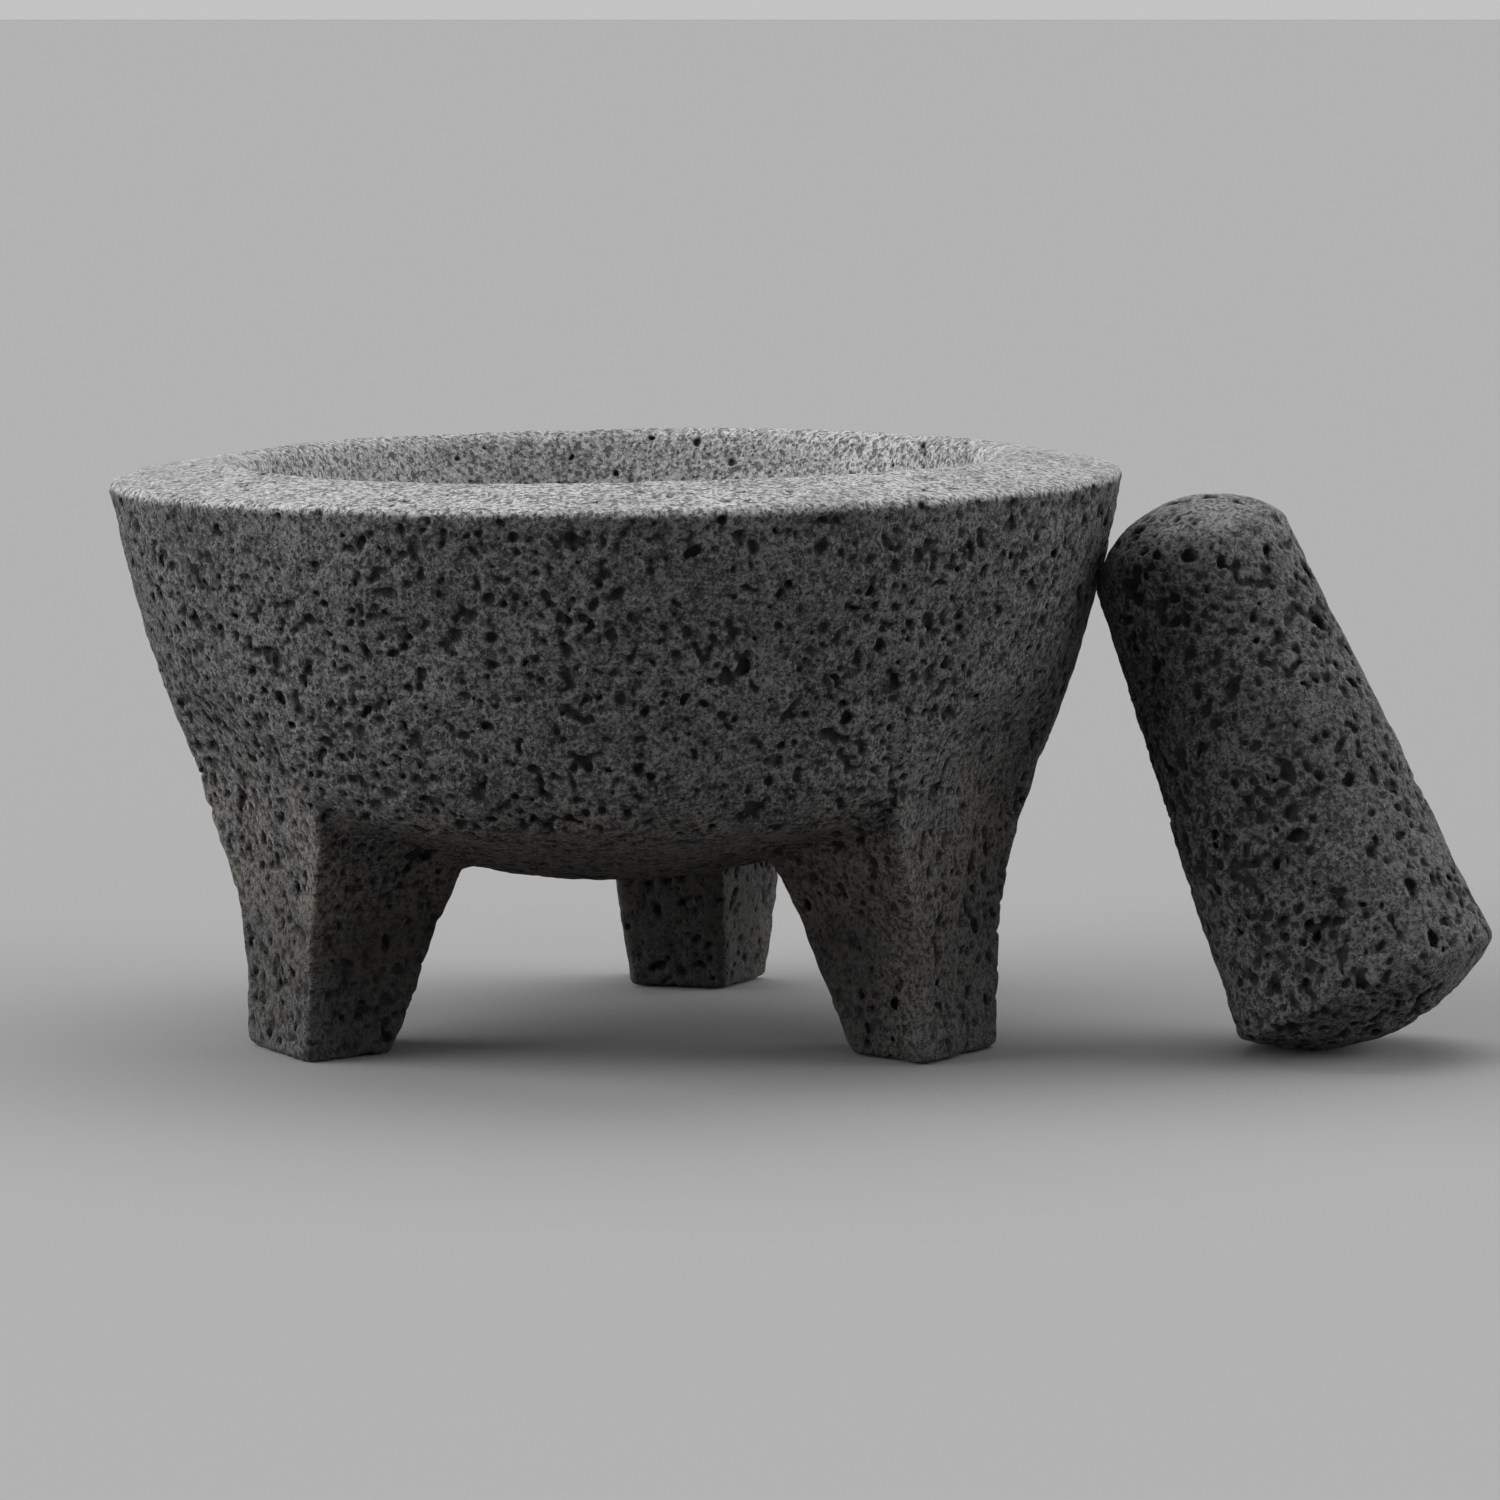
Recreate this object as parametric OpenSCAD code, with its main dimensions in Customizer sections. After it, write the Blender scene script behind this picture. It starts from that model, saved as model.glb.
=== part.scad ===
// Molcajete: a three-legged stone mortar carved from one block, and its loose pestle.
// Millimetres, +Z up. The origin is on the bowl's axis, in the plane that the feet stand on.
// -Y is the front. The pestle leans on the right side of the bowl.

/* [Bowl] */
// Outer radius of the rim
rim_r = 107.8; // [105:0.1:112]
// Height of the rim's outer edge above the standing plane
rim_h = 120; // [118:1:124]
// How steeply the rim's top rises towards the hollow, in degrees
rim_slope = 9.5; // [7:0.5:12]
// Radius of the hollow at the height of the rim's outer edge
mouth_r = 80; // [76:0.5:83]
// Depth of the hollow below the rim's outer edge
hollow_depth = 62; // [58:1:66]
// Radius that rounds the hollow's edge into the rim's top
lip_r = 5; // [2:0.5:6]
// Radius that rounds the rim's outer edge
rim_edge_r = 1.5; // [0.5:0.5:3]
// How far the wall leans outward at the rim, in degrees from vertical
rim_lean = 10; // [9:0.5:12]
// Radius of the wall's bulge, seen in section
wall_bulge_r = 300; // [280:10:400]
// Height at which the wall starts to turn under
turn_h = 62; // [60:1:66]
// Radius of the turn from the wall to the underside
turn_r = 20; // [15:1:22]
// Slope of the underside where it meets the turn, in degrees from level
underside_slope = 17; // [15:0.5:18]
// Height of the underside's lowest point above the standing plane
underside_h = 33.5; // [32:0.5:35]
// Radius of the underside's middle, seen in section
underside_r = 150; // [130:5:160]

/* [Legs] */
// Direction of the left, right and back leg from the axis, in degrees from +X
leg_angles = [208, 331, 78];
// How much further out the left, right and back foot stand, from hand carving
leg_shifts = [0, 3.5, 0];
// How much wider the left, right and back leg are, from hand carving
leg_extra_ws = [0, 1.5, 0];
// Distance from the axis to the middle of a foot's outer edge
foot_reach = 80.5; // [78:0.5:81]
// Distance from the axis to a foot's outer corners
foot_corner_r = 82; // [81.5:0.5:84]
// How much further out the leg's flat outer face is at the knee
knee_out = 5.8; // [4:0.1:7]
// Height of the knee, just below the bowl's wall
knee_h = 60; // [58:1:61]
// How suddenly the flat outer face flares out towards the knee
face_flare = 4; // [3:0.1:5]
// How suddenly the leg's corners flare out towards the knee
corner_flare = 2.2; // [2:0.1:3]
// Distance from the axis to a foot's inner edge
foot_inner = 59; // [55:0.5:62]
// Distance from the axis to a leg's inner face at the knee
knee_inner = 36; // [34:0.5:40]
// Width of a foot at its outer edge
foot_w = 31; // [28:0.5:34]
// Height of the shin, below which a leg tapers gently
shin_h = 28; // [20:1:40]
// Width of a leg at the shin
shin_w = 39; // [34:0.5:44]
// Width of a leg at the knee
knee_w = 66; // [50:1:70]
// How much a leg narrows towards the axis, in mm of width per mm
leg_wedge = 0.42; // [0.3:0.02:0.5]

/* [Pestle] */
// Length of the pestle over both domed ends
pestle_l = 121; // [110:1:122]
// Radius of the wide grinding end
base_r = 29; // [26:0.5:29.5]
// Radius of the narrow held end
top_r = 21.5; // [18:0.5:22]
// Height of the dome on the wide end
base_dome_h = 10.5; // [8:0.5:12]
// Height of the dome on the narrow end
top_dome_h = 11; // [8:0.5:13]
// Radius that rounds the wide end's edge
base_edge_r = 2; // [1:0.5:3]
// Radius that rounds the narrow end's shoulder
shoulder_r = 5; // [3:0.5:6]

/* [Layout] */
// How far the pestle leans from vertical, in degrees
pestle_lean = 24; // [22:0.5:26]
// Direction that the pestle leans in, in degrees from -X towards the back
pestle_swing = 25; // [20:1:28]
// Where the pestle touches the table, to the right of the bowl's axis
pestle_x = 145.5; // [144:0.1:170]
// Where the pestle touches the table, in front of the bowl's axis
pestle_front = 28; // [20:0.5:40]

/* [Hidden] */

stone = [0.24, 0.24, 0.25];
dark_stone = [0.21, 0.21, 0.22];
round_fn = 180;
// Steps along an arc or a flared edge
arc_steps = 10;
// How far a cutting shape runs past what it cuts
past = 5;
// Thickness of the outlines that a leg is stretched between
slab = 0.01;

// Centre of the wall's bulge: [radius, height]
wall_c = [rim_r - wall_bulge_r * cos(rim_lean), rim_h + wall_bulge_r * sin(rim_lean)];
// How far the wall leans where the turn starts
turn_lean = asin((wall_c[1] - turn_h) / wall_bulge_r);
turn_start = wall_c + wall_bulge_r * [cos(turn_lean), -sin(turn_lean)];
turn_c = turn_start - turn_r * [cos(turn_lean), -sin(turn_lean)];
// How far the underside's middle arc reaches from its lowest point, in degrees
underside_span = underside_slope - 2;

// The rim's top is a shallow cone: the way up it, and the way out of it
rim_up = [-cos(rim_slope), sin(rim_slope)];
rim_out = [sin(rim_slope), cos(rim_slope)];
rim_edge_c = [rim_r - rim_edge_r, rim_h - rim_edge_r];
rim_start = rim_edge_c + rim_edge_r * rim_out;
// Height that the cone would reach on the axis
rim_peak = rim_start[1] + rim_start[0] * tan(rim_slope);

// The hollow is part of a sphere, which meets the rim through the lip's rounding
hollow_r = (pow(mouth_r, 2) + pow(hollow_depth, 2)) / (2 * hollow_depth);
hollow_c = [0, rim_h - hollow_depth + hollow_r];
// The lip's arc touches the rim's cone and the outside of the hollow's sphere
lip_from = rim_start - lip_r * rim_out;
lip_b = (lip_from - hollow_c) * rim_up;
lip_q = (lip_from - hollow_c) * (lip_from - hollow_c) - pow(hollow_r + lip_r, 2);
lip_c = lip_from - (lip_b + sqrt(pow(lip_b, 2) - lip_q)) * rim_up;
lip_angle = atan2(hollow_c[1] - lip_c[1], lip_c[0]);
// Distance from the axis to where the lip's arc leaves the cone
lip_end_r = lip_c[0] + lip_r * rim_out[0];

// The flat outer face fades into the bowl's wall below this height
facet_top = knee_h + 24;
// Outlines run this far out before the outer face is cut
leg_out = rim_r - past;
// Radius of the bowl's outside at the knee, where the turn has begun
knee_corner_r = turn_c[0] + sqrt(pow(turn_r, 2) - pow(turn_c[1] - knee_h, 2));

base_sphere_r = (pow(base_r, 2) + pow(base_dome_h, 2)) / (2 * base_dome_h);
top_sphere_r = (pow(top_r, 2) + pow(top_dome_h, 2)) / (2 * top_dome_h);
// Lean of the pestle's side from its axis
side_lean = atan((base_r - top_r) / (pestle_l - base_dome_h - top_dome_h));

// Points along an arc round c, from angle a0 to angle a1
function arc(c, r, a0, a1) =
    [for (i = [0:arc_steps]) let (a = a0 + (a1 - a0) * i / arc_steps) c + r * [cos(a), sin(a)]];

// Distances from the axis at height z, on a leg whose foot is shifted outward:
// to the middle of its flat outer face
function face_reach(z, shift) =
    foot_reach + knee_out * pow(z / knee_h, face_flare) + shift * (1 - min(z / knee_h, 1));
// to its outer corners
function corner_reach(z, shift) =
    let (foot = foot_corner_r + shift)
    foot + (knee_corner_r - foot) * pow(z / knee_h, corner_flare);
// and to its inner face
function inner_reach(z, shift) =
    foot_inner + shift + (knee_inner - foot_inner) * z / knee_h;

// A leg's outline at height z, pointing along +X: it narrows towards the axis
module leg_outline(z, width, shift) {
    inner = inner_reach(z, shift);
    reach = face_reach(z, shift);
    wide = width / 2 + (leg_out - reach) * leg_wedge / 2;
    narrow = width / 2 - (reach - inner) * leg_wedge / 2;
    translate([0, 0, min(z, knee_h - slab)])
        linear_extrude(slab)
            polygon([[inner, -narrow], [leg_out, -wide], [leg_out, wide], [inner, narrow]]);
}

// A leg pointing along +X, with its outer corners on a round outside
module leg_block(shift, extra_w) {
    flared = [for (i = [0:arc_steps]) let (z = knee_h * i / arc_steps) [corner_reach(z, shift), z]];
    intersection() {
        rotate_extrude($fn = round_fn)
            polygon(concat([[0, 0]], flared, [[0, knee_h]]));
        union() {
            hull() {
                leg_outline(0, foot_w + extra_w, shift);
                leg_outline(shin_h, shin_w + extra_w, shift);
            }
            hull() {
                leg_outline(shin_h, shin_w + extra_w, shift);
                leg_outline(knee_h, knee_w, shift);
            }
        }
    }
}

// What is cut away outside a leg's flat outer face, pointing along +X
module outside_face(shift) {
    steps = 2 * arc_steps;
    flared = [for (i = [0:steps]) let (z = facet_top * i / steps) [face_reach(z, shift), z]];
    rotate([90, 0, 0])
        linear_extrude(knee_w + 2 * past, center = true)
            polygon(concat(
                [[face_reach(0, shift), -past]],
                flared,
                [[rim_r + past, facet_top], [rim_r + past, -past]]
            ));
}

// The bowl's outside, as a solid of revolution
module bowl_block() {
    rotate_extrude($fn = round_fn)
        polygon(concat(
            arc([0, underside_h + underside_r], underside_r, -90, underside_span - 90),
            arc(turn_c, turn_r, underside_slope - 90, -turn_lean),
            arc(wall_c, wall_bulge_r, -turn_lean, -rim_lean - 0.3),
            arc(rim_edge_c, rim_edge_r, -rim_lean, 90 - rim_slope),
            [[0, rim_peak]]
        ));
}

// The hollow and its rounded lip, as the shape that is cut from the bowl
module hollow() {
    rotate_extrude($fn = round_fn)
        polygon(concat(
            arc(hollow_c, hollow_r, -90, -lip_angle),
            arc(lip_c, lip_r, 180 - lip_angle, 90 - rim_slope),
            [[lip_end_r, rim_peak + past], [0, rim_peak + past]]
        ));
}

module mortar() {
    color(stone)
        difference() {
            union() {
                bowl_block();
                for (i = [0:len(leg_angles) - 1])
                    rotate([0, 0, leg_angles[i]]) leg_block(leg_shifts[i], leg_extra_ws[i]);
            }
            for (i = [0:len(leg_angles) - 1])
                rotate([0, 0, leg_angles[i]]) outside_face(leg_shifts[i]);
            hollow();
        }
}

// Distance from the middle of the upright pestle's base to the line of its side
side_reach = base_r * cos(side_lean) + base_dome_h * sin(side_lean);

// Centre of the circle that rounds an edge, touching the side and a dome from inside.
// The dome's centre is at height h, and end is -1 for the base and 1 for the top.
function edge_centre(dome_r, h, edge_r, end) =
    let (
        out = side_reach - edge_r - h * sin(side_lean),
        along = end * sqrt(pow(dome_r - edge_r, 2) - pow(out, 2))
    )
    [
        out * cos(side_lean) - along * sin(side_lean),
        h + out * sin(side_lean) + along * cos(side_lean)
    ];

// The pestle upright, with its base dome's lowest point at the origin
module pestle_upright() {
    base_c_h = base_sphere_r;
    top_c_h = pestle_l - top_sphere_r;
    base_edge_c = edge_centre(base_sphere_r, base_c_h, base_edge_r, -1);
    shoulder_c = edge_centre(top_sphere_r, top_c_h, shoulder_r, 1);
    base_edge_a = atan2(base_edge_c[1] - base_c_h, base_edge_c[0]);
    shoulder_a = atan2(shoulder_c[1] - top_c_h, shoulder_c[0]);
    rotate_extrude($fn = round_fn)
        polygon(concat(
            arc([0, base_c_h], base_sphere_r, -90, base_edge_a),
            arc(base_edge_c, base_edge_r, base_edge_a, side_lean),
            arc(shoulder_c, shoulder_r, side_lean, shoulder_a),
            arc([0, top_c_h], top_sphere_r, shoulder_a, 90)
        ));
}

module pestle() {
    color(dark_stone)
        translate([pestle_x, -pestle_front, base_sphere_r])
            rotate([0, 0, -pestle_swing])
                rotate([0, -pestle_lean, 0])
                    translate([0, 0, -base_sphere_r])
                        pestle_upright();
}

mortar();
pestle();
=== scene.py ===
"""Looks for the molcajete: a carved basalt mortar on three legs, and its loose pestle.

Each stone starts from its CAD node's own mesh. The mesh becomes a distance field, which is worn,
made uneven and carved with pores, and turned back into a mesh. Lengths are in millimetres until the
mesh is made, and so is the pore depth that the mesh carries. In the materials and the scene they are
in metres.
"""

import math

import bpy
import numpy as np
import openvdb as vdb
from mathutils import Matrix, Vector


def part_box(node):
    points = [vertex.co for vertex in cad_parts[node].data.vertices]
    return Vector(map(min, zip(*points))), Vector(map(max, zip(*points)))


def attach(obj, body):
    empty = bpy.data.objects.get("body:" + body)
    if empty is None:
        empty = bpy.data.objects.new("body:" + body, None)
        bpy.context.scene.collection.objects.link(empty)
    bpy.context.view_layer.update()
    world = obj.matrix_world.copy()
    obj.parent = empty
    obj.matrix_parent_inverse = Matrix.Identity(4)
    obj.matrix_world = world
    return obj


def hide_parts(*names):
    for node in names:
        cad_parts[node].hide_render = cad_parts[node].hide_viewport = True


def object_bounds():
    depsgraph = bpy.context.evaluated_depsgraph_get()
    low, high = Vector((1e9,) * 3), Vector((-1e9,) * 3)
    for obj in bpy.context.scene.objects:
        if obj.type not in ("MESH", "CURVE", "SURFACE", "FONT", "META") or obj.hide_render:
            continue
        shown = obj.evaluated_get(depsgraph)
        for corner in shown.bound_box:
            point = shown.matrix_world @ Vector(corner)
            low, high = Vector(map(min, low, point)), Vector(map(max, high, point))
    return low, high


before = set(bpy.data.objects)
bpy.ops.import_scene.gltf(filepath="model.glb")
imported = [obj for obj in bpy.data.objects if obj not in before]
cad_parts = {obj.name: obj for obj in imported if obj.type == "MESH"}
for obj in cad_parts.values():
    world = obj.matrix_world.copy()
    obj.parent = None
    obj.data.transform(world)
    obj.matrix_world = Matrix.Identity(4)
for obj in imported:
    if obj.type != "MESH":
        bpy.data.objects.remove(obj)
cad_lo, cad_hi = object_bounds()

VOXEL = 0.5
BAND = 7.0  # how far from the surface the field knows its distance
MARGIN = 3.0  # free space round a stone in its grid
FAR = 9.0  # the distance written where no pore is near
PORE_DEPTH = 4.0  # the deepest that the material can tell

RIM_H = 1000 * float(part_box("mortar")[1][2])
PESTLE_TOP = 1000 * float(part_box("pestle")[1][2])
# The hollow is part of a sphere and the rim's top a shallow cone, as in the CAD
HOLLOW_R = 82.6
HOLLOW_H = 140.6
RIM_SLOPE = math.tan(math.radians(9.5))
RIM_CREST = 84.8  # radius of the lip's highest circle
# The block was cut a little askew, so the rim rises towards +X, more and more between two heights
RIM_TILT = 0.0115
TILT_FROM, TILT_TO = 55, 115
# The ground stone's skin ends between two depths, below the rim's top and behind the hollow
RIM_SKIN = (1.7, 0.7)
HOLLOW_SKIN = (4, 2.5)

# How far a pore is from round, how rough its wall is against its radius, and the size of the bumps there
PORE_STRETCH = 0.24
PORE_ROUGHNESS = 0.42
PORE_GRAIN = 0.8
# Some pores have another run into them: the share that has one, and its size against theirs
JOINED_PORES = ((0.25, 0.75), (0.1, 0.6))
CHIPPED = 0.3  # the last blur, which takes away thin spurs between pores


# ---------------------------------------------------------------- distance fields


def step(x, a, b):
    """0 at a, 1 at b, and smooth between them."""
    t = np.clip((x - a) / (b - a), 0, 1)
    return (t * t * (3 - 2 * t)).astype(np.float32)


def read_mesh(obj):
    me = obj.data
    me.calc_loop_triangles()
    co = np.empty(len(me.vertices) * 3, np.float32)
    me.vertices.foreach_get("co", co)
    tri = np.empty(len(me.loop_triangles) * 3, np.int32)
    me.loop_triangles.foreach_get("vertices", tri)
    return co.reshape(-1, 3) * 1000, tri.reshape(-1, 3).astype(np.uint32)


class Field:
    """A dense grid of distances to a stone's surface, negative inside."""

    def __init__(self, obj, voxel):
        points, triangles = read_mesh(obj)
        self.v = voxel
        first = np.floor((points.min(0) - MARGIN) / voxel).astype(int)
        last = np.ceil((points.max(0) + MARGIN) / voxel).astype(int)
        self.first = first
        self.lo = first * voxel
        grid = vdb.FloatGrid.createLevelSetFromPolygons(
            points,
            triangles=triangles,
            transform=vdb.createLinearTransform(voxelSize=voxel),
            halfWidth=BAND / voxel,
        )
        self.d = np.zeros(tuple(last - first + 1), np.float32)
        grid.copyToArray(self.d, ijk=tuple(int(i) for i in first))

    def axis(self, k):
        """The grid's positions along an axis, shaped to multiply into the grid."""
        shape = [1, 1, 1]
        shape[k] = -1
        along = self.lo[k] + self.v * np.arange(self.d.shape[k], dtype=np.float32)
        return along.reshape(shape).astype(np.float32)

    def blurred(self, sigma):
        """The distances averaged over a ball about sigma in radius, which rounds every edge."""
        reach = int(math.ceil(2.5 * sigma / self.v))
        w = np.exp(-0.5 * (np.arange(-reach, reach + 1) * self.v / sigma) ** 2)
        w = (w / w.sum()).astype(np.float32)
        out = self.d
        for k in range(3):
            n = out.shape[k]
            total = out * w[reach]
            for j in range(1, reach + 1):
                ahead, behind = [slice(None)] * 3, [slice(None)] * 3
                ahead[k], behind[k] = slice(j, n), slice(0, n - j)
                total[tuple(behind)] += w[reach + j] * out[tuple(ahead)]
                total[tuple(ahead)] += w[reach - j] * out[tuple(behind)]
            out = total
        return out

    def spread(self, lattice, start, size):
        """A coarse lattice's values over the whole grid, as a smooth cubic spline."""
        out = lattice.astype(np.float32)
        for k in (2, 1, 0):
            n = out.shape[k]
            t = (self.lo[k] - start[k] + self.v * np.arange(self.d.shape[k])) / size
            base = np.floor(t).astype(int)
            f = t - base
            shape = [1, 1, 1]
            shape[k] = -1
            total = None
            g = 1 - f
            weights = (g**3, 3 * f**3 - 6 * f**2 + 4, 3 * g**3 - 6 * g**2 + 4, f**3)
            for j, w in enumerate(weights):
                part = np.take(out, np.clip(base - 1 + j, 0, n - 1), axis=k)
                part *= (w / 6).astype(np.float32).reshape(shape)
                total = part if total is None else np.add(total, part, out=total)
            out = total
        return out

    def noise(self, size, rng):
        """Smooth noise with features about size across. Its mean is 0 and its spread is 1."""
        start = self.lo - rng.uniform(1, 2, 3) * size
        counts = [int(self.d.shape[k] * self.v / size) + 6 for k in range(3)]
        return self.spread(rng.standard_normal(counts).astype(np.float32) * 3, start, size)

    def surface(self):
        """Grid positions on the surface, as an index array."""
        return np.argwhere(np.abs(self.d) < 0.5 * self.v)

    def normals(self, index):
        g = np.zeros((len(index), 3), np.float32)
        for k in range(3):
            up, down = index.copy(), index.copy()
            up[:, k] = np.minimum(up[:, k] + 2, self.d.shape[k] - 1)
            down[:, k] = np.maximum(down[:, k] - 2, 0)
            g[:, k] = self.d[tuple(up.T)] - self.d[tuple(down.T)]
        return g / np.maximum(np.linalg.norm(g, axis=1, keepdims=True), 1e-6)

    def sample(self, values, points):
        """Values of a grid at points, by linear interpolation."""
        q = (points - self.lo) / self.v
        q = np.clip(q, 0, np.array(values.shape) - 1.001)
        i = q.astype(int)
        f = (q - i).astype(np.float32)
        out = np.zeros(len(q), np.float32)
        for a in (0, 1):
            for b in (0, 1):
                for c in (0, 1):
                    w = f[:, 0] if a else 1 - f[:, 0]
                    w = w * (f[:, 1] if b else 1 - f[:, 1])
                    w = w * (f[:, 2] if c else 1 - f[:, 2])
                    out += w * values[i[:, 0] + a, i[:, 1] + b, i[:, 2] + c]
        return out

    def polygons(self):
        grid = vdb.FloatGrid(10.0)
        grid.transform = vdb.createLinearTransform(voxelSize=self.v)
        grid.copyFromArray(self.d, ijk=tuple(int(i) for i in self.first))
        points, _, quads = grid.convertToPolygons(isovalue=0.0, adaptivity=0.0)
        return np.asarray(points, np.float32), np.asarray(quads, np.int64)


def turns(n, rng):
    """n random rotations."""
    q = rng.standard_normal((n, 4))
    w, x, y, z = (q / np.linalg.norm(q, axis=1, keepdims=True)).T
    return np.stack([
        np.stack([1 - 2 * (y * y + z * z), 2 * (x * y - z * w), 2 * (x * z + y * w)], -1),
        np.stack([2 * (x * y + z * w), 1 - 2 * (x * x + z * z), 2 * (y * z - x * w)], -1),
        np.stack([2 * (x * z - y * w), 2 * (y * z + x * w), 1 - 2 * (x * x + y * y)], -1),
    ], 1)


def add_blobs(field, out, centres, radii, rotations, rough, amount):
    """Uneven ellipsoids, joined into the distance field out."""
    for c, r, rot in zip(centres, radii, rotations):
        reach = r.max() * 1.35 + field.v
        a = np.maximum(np.floor((c - reach - field.lo) / field.v).astype(int), 0)
        b = np.minimum(np.ceil((c + reach - field.lo) / field.v).astype(int) + 1, out.shape)
        if (b <= a).any():
            continue
        box = tuple(slice(p, q) for p, q in zip(a, b))
        x, y, z = (field.lo[k] + field.v * np.arange(a[k], b[k]) - c[k] for k in range(3))
        m = rot @ np.diag(1 / r**2) @ rot.T
        x, y, z = x[:, None, None], y[None, :, None], z[None, None, :]
        q = m[0, 0] * x * x + m[1, 1] * y * y + m[2, 2] * z * z
        q = q + 2 * (m[0, 1] * x * y + m[0, 2] * x * z + m[1, 2] * y * z)
        size = float(r.prod() ** (1 / 3))
        d = (np.sqrt(q) - 1 + amount * rough[box]) * size
        np.minimum(out[box], d, out=out[box])


def pore_sizes(n, small, large, fall, rng):
    """Radii with many small and few large ones."""
    u = rng.random(n)
    k = (small / large) ** fall
    return small * (1 - u * (1 - k)) ** (-1 / fall)


def make_pores(field, rng, density, small, large, fall, keep, rough):
    """A field of pores to cut. density counts the tries per square mm, of which keep lets a share through."""
    out = np.full(field.d.shape, FAR, np.float32)
    where = field.surface()
    area = len(where) * field.v**2
    where = where[rng.choice(len(where), int(density * area))]
    where = where[rng.random(len(where)) < keep(where)]
    n = len(where)
    normal = field.normals(where)
    size = pore_sizes(n, small, large, fall, rng)
    centre = field.lo + where * field.v + rng.uniform(-0.5, 0.5, (n, 3)) * field.v
    centre = centre - normal * (size * rng.uniform(-0.1, 0.7, n))[:, None]
    shape = np.exp(rng.normal(0, PORE_STRETCH, (n, 3)))
    add_blobs(field, out, centre, size[:, None] * shape, turns(n, rng), rough, PORE_ROUGHNESS)
    for share, scale in JOINED_PORES:
        pick = rng.random(n) < share
        m = int(pick.sum())
        away = rng.standard_normal((m, 3))
        away /= np.linalg.norm(away, axis=1, keepdims=True)
        c = centre[pick] + away * (size[pick] * rng.uniform(0.7, 1.2, m))[:, None]
        c = c - normal[pick] * (size[pick] * 0.3)[:, None]
        r = (size[pick] * scale)[:, None] * np.exp(rng.normal(0, 0.2, (m, 3)))
        add_blobs(field, out, c, r, turns(m, rng), rough, PORE_ROUGHNESS)
    return out


def add_cavities(field, out, body, size, cut, depth, rng, less):
    """Ragged cavities where a noise is low, down to a depth below the surface. less makes them rarer."""
    cavity = (field.noise(size, rng) + cut + less) * (0.55 * size)
    np.maximum(cavity, -(body + depth), out=cavity)
    np.minimum(out, cavity, out=out)


def build_stone(name, node, seed, shape_it, tilt=0.0):
    """The stone's mesh object, with what its material needs to know at each vertex."""
    rng = np.random.default_rng(seed)
    field = Field(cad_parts[node], VOXEL)
    body, ground, pores = shape_it(field, rng)
    field.d = np.maximum(body, -pores)
    field.d = field.blurred(CHIPPED)
    # Nothing reaches below the ground
    np.maximum(field.d, -field.axis(2), out=field.d)
    points, quads = field.polygons()
    # Only the stone's outside counts: the volume's sign says which way the faces look
    p = points[quads[:, [0, 1, 2]]].astype(np.float64)
    if np.einsum("ij,ij->i", p[:, 0], np.cross(p[:, 1], p[:, 2])).sum() < 0:
        quads = quads[:, ::-1]
    points, quads = largest_part(points, quads)
    depth = np.clip(-field.sample(body, points), 0, PORE_DEPTH)
    bare = field.sample(ground, points)
    points[:, 2] += tilt * points[:, 0] * step(points[:, 2], TILT_FROM, TILT_TO)
    me = bpy.data.meshes.new(name)
    me.vertices.add(len(points))
    me.vertices.foreach_set("co", (points * 0.001).ravel())
    me.loops.add(4 * len(quads))
    me.loops.foreach_set("vertex_index", quads.astype(np.int32).ravel())
    me.polygons.add(len(quads))
    me.polygons.foreach_set("loop_start", (4 * np.arange(len(quads))).astype(np.int32))
    me.polygons.foreach_set("use_smooth", np.ones(len(quads), bool))
    me.update(calc_edges=True)
    for key, values in (("pore", depth), ("ground", bare)):
        attribute = me.attributes.new(key, "FLOAT", "POINT")
        attribute.data.foreach_set("value", values.astype(np.float32))
    obj = bpy.data.objects.new(name, me)
    bpy.context.scene.collection.objects.link(obj)
    return obj


def largest_part(points, quads):
    """The mesh without crumbs that pores have cut loose or hidden inside."""
    label = np.arange(len(points))
    edges = np.concatenate([quads[:, [k, (k + 1) % 4]] for k in range(4)])
    while True:
        low = np.minimum(label[edges[:, 0]], label[edges[:, 1]])
        new = label.copy()
        np.minimum.at(new, edges[:, 0], low)
        np.minimum.at(new, edges[:, 1], low)
        new = new[new]
        new = new[new]
        if (new == label).all():
            break
        label = new
    main = np.bincount(label).argmax()
    keep = label == main
    quads = quads[keep[quads[:, 0]]]
    renumber = np.cumsum(keep) - 1
    return points[keep], renumber[quads]


# ---------------------------------------------------------------- the two stones


def uneven(field, rng, amounts, calm):
    """Hand-cut unevenness: a sum of noises, with less than half of it left where calm is 1."""
    total = np.zeros(field.d.shape, np.float32)
    for size, amount in amounts:
        total += np.float32(amount) * field.noise(size, rng)
    total *= 1 - 0.6 * calm
    return total


MORTAR_BUMPS = ((30, 0.26), (10, 0.12), (3.4, 0.08), (1.4, 0.07))  # sizes and heights
MORTAR_CAVITIES = ((1.6, 2.05, 1.8), (1.05, 1.45, 1.1))  # size, rarity and depth
MORTAR_PATCH = 16  # size of the stretches with more or fewer pores
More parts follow.
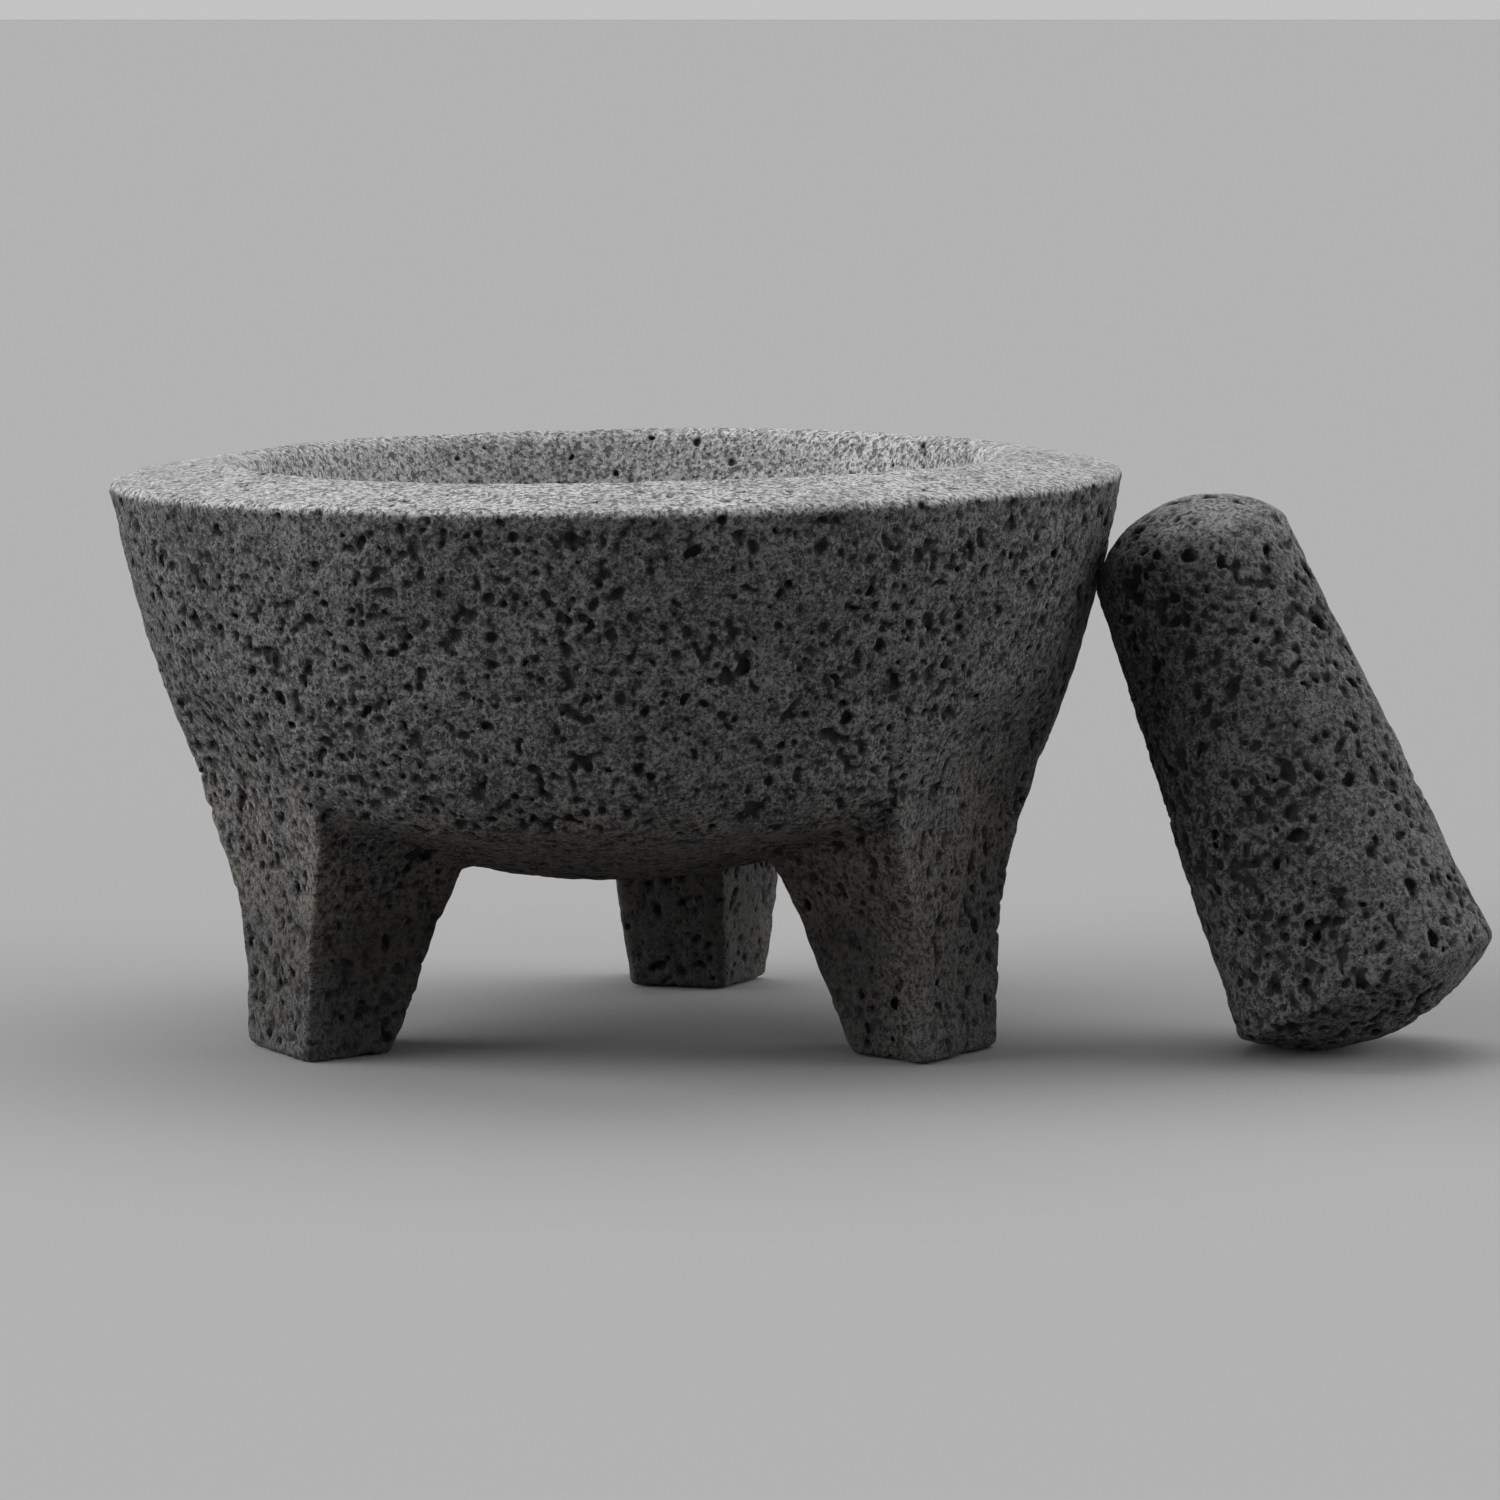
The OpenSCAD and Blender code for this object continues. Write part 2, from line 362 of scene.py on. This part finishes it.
# Blurs: what fills the corner between a leg and the bowl, what finds the edges, and what wears them
LEG_FILLET = 3.4
EDGE_BLUR = 3.0
EDGE_WORN = 0.7
FOOT_WORN = 1.1
FOOT_TOP, FOOT_LOW = 14, 2  # the feet are worn more, from one height down to the other
COARSE = 2.0  # the grid for the wide blurs
FILLET_THINNER = 0.2  # keeps the blurred copy under the surface elsewhere
EDGE_FROM, EDGE_FULL = 0.35, 1.1  # how far the blur moves an edge's surface
PESTLE_BUMPS = ((26, 0.32), (10, 0.16), (3.4, 0.10), (1.4, 0.09))
PESTLE_CAVITIES = ((1.7, 2.1, 2.0), (1.05, 1.45, 1.1))
PESTLE_PATCH = 13
TOP_WEAR_HIGHLIGHT_FROM, TOP_WEAR_HIGHLIGHT_TO = 16, 2  # depths below the pestle's top between which it grows smoother, and paler as a painted highlight


def shape_mortar(field, rng):
    """The mortar's distances without pores, where it is ground smooth, and its pores."""
    x, y, z = (field.axis(k) for k in range(3))
    # The rim's top and the hollow are ground smooth
    top = z - RIM_H + RIM_SLOPE * (np.sqrt(x * x + y * y) - RIM_CREST)
    bowl = np.sqrt(x * x + y * y + (z - HOLLOW_H) ** 2)
    ground_top = step(top, -RIM_SKIN[0], -RIM_SKIN[1])
    ground_bowl = step(-bowl, -HOLLOW_R - HOLLOW_SKIN[0], -HOLLOW_R - HOLLOW_SKIN[1])
    ground = np.maximum(ground_top, ground_bowl)
    del bowl, top, ground_top, ground_bowl
    # Where a leg meets the bowl, the stone runs over in a wide curve: a coarse, blurred copy fills it
    coarse = Field(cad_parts["mortar"], COARSE)
    fillet = field.spread(coarse.blurred(LEG_FILLET), coarse.lo, coarse.v) + FILLET_THINNER
    # Pores seldom open across an edge, which is where a blur moves the surface inwards
    moved = field.spread(coarse.blurred(EDGE_BLUR) - coarse.d, coarse.lo, coarse.v)
    edge = step(moved, EDGE_FROM, EDGE_FULL)
    feet = step(-z, -FOOT_TOP, -FOOT_LOW)
    worn = field.blurred(EDGE_WORN) * (1 - feet) + field.blurred(FOOT_WORN) * feet
    field.d = np.minimum(worn, fillet)
    del fillet, worn
    body = field.d + uneven(field, rng, MORTAR_BUMPS, ground)
    rough = field.noise(PORE_GRAIN, rng)
    patch = field.noise(MORTAR_PATCH, rng)

    def keep(where):
        i = tuple(where.T)
        return (0.60 + 0.16 * patch[i]) * (1 - 0.9 * ground[i]) * (1 - 0.75 * edge[i])

    field.d = body
    pores = make_pores(field, rng, density=0.33, small=0.36, large=0.92, fall=2.3, keep=keep, rough=rough)
    less = 0.75 * ground - 0.06 * patch + 0.8 * edge
    for size, cut, depth in MORTAR_CAVITIES:
        add_cavities(field, pores, body, size, cut, depth, rng, less)
    return body, ground, pores


def shape_pestle(field, rng):
    """The same three fields for the pestle."""
    # Hands have worn the held end a little; its highest part is also painted paler, a painted highlight where
    # the light from above falls
    worn = step(field.axis(2), PESTLE_TOP - TOP_WEAR_HIGHLIGHT_FROM, PESTLE_TOP - TOP_WEAR_HIGHLIGHT_TO)
    ground = np.zeros(field.d.shape, np.float32) + 0.6 * worn
    field.d = field.blurred(EDGE_WORN)
    body = field.d + uneven(field, rng, PESTLE_BUMPS, ground)
    rough = field.noise(PORE_GRAIN, rng)
    patch = field.noise(PESTLE_PATCH, rng)

    def keep(where):
        return 0.55 + 0.25 * patch[tuple(where.T)]

    field.d = body
    pores = make_pores(field, rng, density=0.38, small=0.38, large=1.15, fall=2.1, keep=keep, rough=rough)
    less = -0.1 * patch
    for size, cut, depth in PESTLE_CAVITIES:
        add_cavities(field, pores, body, size, cut, depth, rng, less)
    return body, ground, pores


# ---------------------------------------------------------------- material


# A colour Mix node's sockets, which share their names with those of its other data types
MIX_FACTOR, MIX_A, MIX_B, MIX_RESULT = 0, 6, 7, 2
CRYSTAL = (0.20, 0.20, 0.20)
# Near-black painted shade for the inner sides of the legs
PAINTED_SHADE = (0.004, 0.004, 0.0035)
# Painted shade and dirt for the fine pits, then for the carved pores
PIT_SHADE_AND_DIRT = (0.004, 0.004, 0.004)
PORE_SHADE_AND_DIRT = (0.003, 0.003, 0.003)
BUMP_HEIGHT = 0.0006
SHADE_TOP, SHADE_FULL = 0.050, 0.026  # heights between which the painted shade fades in, downwards
SHADE_OUTSIDE, SHADE_INSIDE = 0.094, 0.072  # distances from the bowl's axis for the same


def node(tree, kind, values=(), **props):
    """A shader node. values are (input, number or output) pairs."""
    made = tree.nodes.new(kind)
    for key, value in props.items():
        setattr(made, key, value)
    for key, value in values:
        if isinstance(value, bpy.types.NodeSocket):
            tree.links.new(value, made.inputs[key])
        else:
            made.inputs[key].default_value = value
    return made


def noise(tree, at, scale, detail=2.0, rough=0.6):
    """A noise whose scale is about the number of its features in a metre."""
    values = [("Vector", at), ("Scale", scale), ("Detail", detail), ("Roughness", rough)]
    return node(tree, "ShaderNodeTexNoise", values).outputs["Fac"]


def span(tree, value, a, b, c=0.0, d=1.0, smooth=False):
    """value moved from the range a..b to c..d, and held there."""
    values = [("Value", value), ("From Min", a), ("From Max", b), ("To Min", c), ("To Max", d)]
    made = node(tree, "ShaderNodeMapRange", values)
    if smooth:
        made.interpolation_type = "SMOOTHSTEP"
    return made.outputs["Result"]


def calc(tree, operation, a, b=0.0, clamp=False):
    return node(tree, "ShaderNodeMath", [(0, a), (1, b)], operation=operation, use_clamp=clamp).outputs[0]


def mix(tree, factor, a, b, blend="MIX"):
    made = node(tree, "ShaderNodeMix", data_type="RGBA", blend_type=blend)
    for key, value in ((MIX_FACTOR, factor), (MIX_A, a), (MIX_B, b)):
        if isinstance(value, bpy.types.NodeSocket):
            tree.links.new(value, made.inputs[key])
        elif isinstance(value, tuple):
            made.inputs[key].default_value = (*value, 1.0)
        else:
            made.inputs[key].default_value = value
    return made.outputs[MIX_RESULT]


def channel(tree, texture, k):
    """One channel of a texture's colour, a different random value in each of its cells."""
    return node(tree, "ShaderNodeSeparateColor", [("Color", texture.outputs["Color"])]).outputs[k]


def attribute(tree, name):
    return node(tree, "ShaderNodeAttribute", attribute_name=name).outputs["Fac"]


def fine_pits(t, at, ground):
    """Fine pits between the carved pores: ragged ones where a noise is low, and rounder ones."""
    ragged = span(t, noise(t, at, 760, 3, 0.7), 0.47, 0.36, smooth=True)
    cell = node(t, "ShaderNodeTexVoronoi", [("Vector", at), ("Scale", 820)])
    size = span(t, channel(t, cell, 0), 0.4, 1, 0.0, 0.55)
    round_ones = span(t, calc(t, "SUBTRACT", size, cell.outputs["Distance"]), -0.05, 0.2, smooth=True)
    pits = calc(t, "MAXIMUM", ragged, round_ones)
    return calc(t, "MULTIPLY", pits, span(t, ground, 0, 1, 1, 0.8))


def position(t, at):
    """The height above the ground, and the distance from the bowl's axis."""
    xyz = node(t, "ShaderNodeSeparateXYZ", [("Vector", at)]).outputs
    across, ahead = (calc(t, "MULTIPLY", xyz[k], xyz[k]) for k in "XY")
    return xyz["Z"], calc(t, "SQRT", calc(t, "ADD", across, ahead))


def brown_low_tint(t, at, height_up, reach, brown_top):
    """How much brown tint the stone takes: most of it low down and under the bowl."""
    low = span(t, height_up, brown_top, 0.5 * brown_top)
    low = calc(t, "MULTIPLY", low, span(t, height_up, 0.01, 0.035, 0.35, 1.0))
    low = calc(t, "MULTIPLY", low, span(t, reach, 0.090, 0.076, 0.25, 1.0))
    return calc(t, "MULTIPLY", low, span(t, noise(t, at, 70, 3), 0.32, 0.62))


def stone_material(name, dark, light, ground_dark, ground_light, brown, brown_top):
    """Vesicular basalt. It reads the mesh's depth below the uncut surface, and where the stone is ground."""
    mat = bpy.data.materials.new(name)
    mat.use_nodes = True
    t = mat.node_tree
    t.nodes.clear()
    at = node(t, "ShaderNodeTexCoord").outputs["Object"]
    pore = span(t, attribute(t, "pore"), 0.08, 0.75)
    ground = attribute(t, "ground")

    tone = noise(t, at, 38, 3)
    blotch = noise(t, at, 210, 3)
    grain = noise(t, at, 1150, 4, 0.8)

    pits = fine_pits(t, at, ground)

    # Matrix colour
    level = calc(t, "ADD", calc(t, "MULTIPLY", tone, 0.25), calc(t, "MULTIPLY", blotch, 0.30))
    level = calc(t, "ADD", level, calc(t, "MULTIPLY", grain, 1.6))
    level = span(t, level, 0.91, 1.28)
    matrix = mix(t, level, dark, light)
    height_up, reach = position(t, at)
    brown_amount = brown_low_tint(t, at, height_up, reach, brown_top)
    brown_colour = mix(t, level, tuple(0.55 * c for c in brown), brown)
    matrix = mix(t, calc(t, "MULTIPLY", brown_amount, 0.75), matrix, brown_colour)
    # Crystals that catch the light
    speck = node(t, "ShaderNodeTexVoronoi", [("Vector", at), ("Scale", 1250)])
    chosen = span(t, channel(t, speck, 1), 0.86, 1.0)
    crystal = calc(t, "MULTIPLY", chosen, span(t, speck.outputs["Distance"], 0.34, 0.12))
    matrix = mix(t, calc(t, "MULTIPLY", crystal, 0.8), matrix, CRYSTAL)
    # Ground stone is paler, with dust in its grain; on the pestle's top this paler colour is also a painted
    # highlight
    polished = mix(t, level, ground_dark, ground_light)
    colour = mix(t, ground, matrix, polished)
    # Painted shade darkens the inner sides of the legs, low down
    inside = span(t, reach, SHADE_OUTSIDE, SHADE_INSIDE)
    painted_shade = calc(t, "MULTIPLY", span(t, height_up, SHADE_TOP, SHADE_FULL), inside)
    colour = mix(t, calc(t, "MULTIPLY", painted_shade, 0.8), colour, PAINTED_SHADE)
    # Pits and pores are darkened, the pores more with depth: painted shade in the recesses, and dirt
    colour = mix(t, calc(t, "MULTIPLY", pits, 0.85), colour, PIT_SHADE_AND_DIRT)
    colour = mix(t, calc(t, "MULTIPLY", pore, 0.92), colour, PORE_SHADE_AND_DIRT)

    rough_value = span(t, grain, 0.3, 0.7, 0.78, 0.95)
    rough_value = calc(t, "SUBTRACT", rough_value, calc(t, "MULTIPLY", crystal, 0.3))

    height = calc(t, "MULTIPLY", grain, 0.55)
    height = calc(t, "ADD", height, calc(t, "MULTIPLY", blotch, 0.5))
    height = calc(t, "ADD", height, calc(t, "MULTIPLY", crystal, 0.2))
    height = calc(t, "SUBTRACT", height, calc(t, "MULTIPLY", pits, 0.9))
    bump = node(t, "ShaderNodeBump", [("Strength", 1.0), ("Distance", BUMP_HEIGHT), ("Height", height)])

    values = [("Base Color", colour), ("Roughness", rough_value), ("Normal", bump.outputs[0])]
    shader = node(t, "ShaderNodeBsdfPrincipled", values)
    shader.inputs["Specular IOR Level"].default_value = 0.35
    out = node(t, "ShaderNodeOutputMaterial")
    t.links.new(shader.outputs[0], out.inputs["Surface"])
    return mat


def grey(value):
    return (value, value, value)


basalt = stone_material(
    "basalt",
    dark=(0.010, 0.010, 0.0105),
    light=(0.112, 0.112, 0.114),
    ground_dark=grey(0.10),
    ground_light=(0.355, 0.352, 0.35),
    brown=(0.140, 0.115, 0.078),
    brown_top=0.080,
)
dark_basalt = stone_material(
    "dark_basalt",
    dark=(0.010, 0.010, 0.0105),
    light=(0.098, 0.098, 0.100),
    ground_dark=grey(0.07),
    ground_light=grey(0.20),
    brown=(0.056, 0.046, 0.033),
    brown_top=0.085,
)

mortar = build_stone("mortar_stone", "mortar", seed=11, shape_it=shape_mortar, tilt=RIM_TILT)
pestle = build_stone("pestle_stone", "pestle", seed=23, shape_it=shape_pestle)
for piece, material, cad_node, body, slot in (
    (mortar, basalt, "mortar", "mortar_body", "basalt"),
    (pestle, dark_basalt, "pestle", "pestle_body", "pestle_basalt"),
):
    piece.data.materials.append(material)
    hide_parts(cad_node)
    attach(piece, body)

# ---------------------------------------------------------------- floor, light and camera

FLOOR_HALF = 30
WORLD_LIGHT = 0.55
WINDOW_ANGLE = 60
# The camera stands 1.5 m in front, above the rim, and looks down by 6 degrees
CAMERA_AT = (0.0347, -1.5, 0.2266)
LOOKS_DOWN = 6.335
LOOKS_LEFT = 0.238
LENS = 169.0

corners = [(x * FLOOR_HALF, y * FLOOR_HALF, 0) for x, y in ((-1, -1), (1, -1), (1, 1), (-1, 1))]
floor_mesh = bpy.data.meshes.new("floor")
floor_mesh.from_pydata(corners, [], [(0, 1, 2, 3)])
floor = bpy.data.objects.new("floor", floor_mesh)
floor.location.z = cad_lo.z
bpy.context.scene.collection.objects.link(floor)
paper = bpy.data.materials.new("paper")
paper.use_nodes = True
matte = paper.node_tree.nodes["Principled BSDF"].inputs
matte["Base Color"].default_value = (*grey(0.2), 1)
matte["Roughness"].default_value = 0.9
matte["Specular IOR Level"].default_value = 0.0
floor_mesh.materials.append(paper)

world = bpy.data.worlds.new("studio")
bpy.context.scene.world = world
world.use_nodes = True
world.node_tree.nodes["Background"].inputs["Color"].default_value = (*grey(1.0), 1)
world.node_tree.nodes["Background"].inputs["Strength"].default_value = WORLD_LIGHT


def soft_light(name, azimuth, elevation, strength):
    """Light as from a big distant window, whose azimuth counts from +X towards +Y."""
    data = bpy.data.lights.new(name, "SUN")
    data.energy = strength
    data.angle = math.radians(WINDOW_ANGLE)
    light = bpy.data.objects.new(name, data)
    light.rotation_euler = (0, math.radians(90 - elevation), math.radians(azimuth))
    bpy.context.scene.collection.objects.link(light)


soft_light("left", 188, 20, 5.6)
soft_light("right", 2, 15, 3.5)
soft_light("top", 90, 65, 2.6)

camera_data = bpy.data.cameras.new("camera")
camera_data.sensor_width = 36
camera_data.lens = LENS
camera = bpy.data.objects.new("camera", camera_data)
camera.location = CAMERA_AT
camera.rotation_euler = (math.radians(90 - LOOKS_DOWN), 0, math.radians(LOOKS_LEFT))
bpy.context.scene.collection.objects.link(camera)
bpy.context.scene.camera = camera
bpy.context.scene.view_settings.view_transform = "Standard"
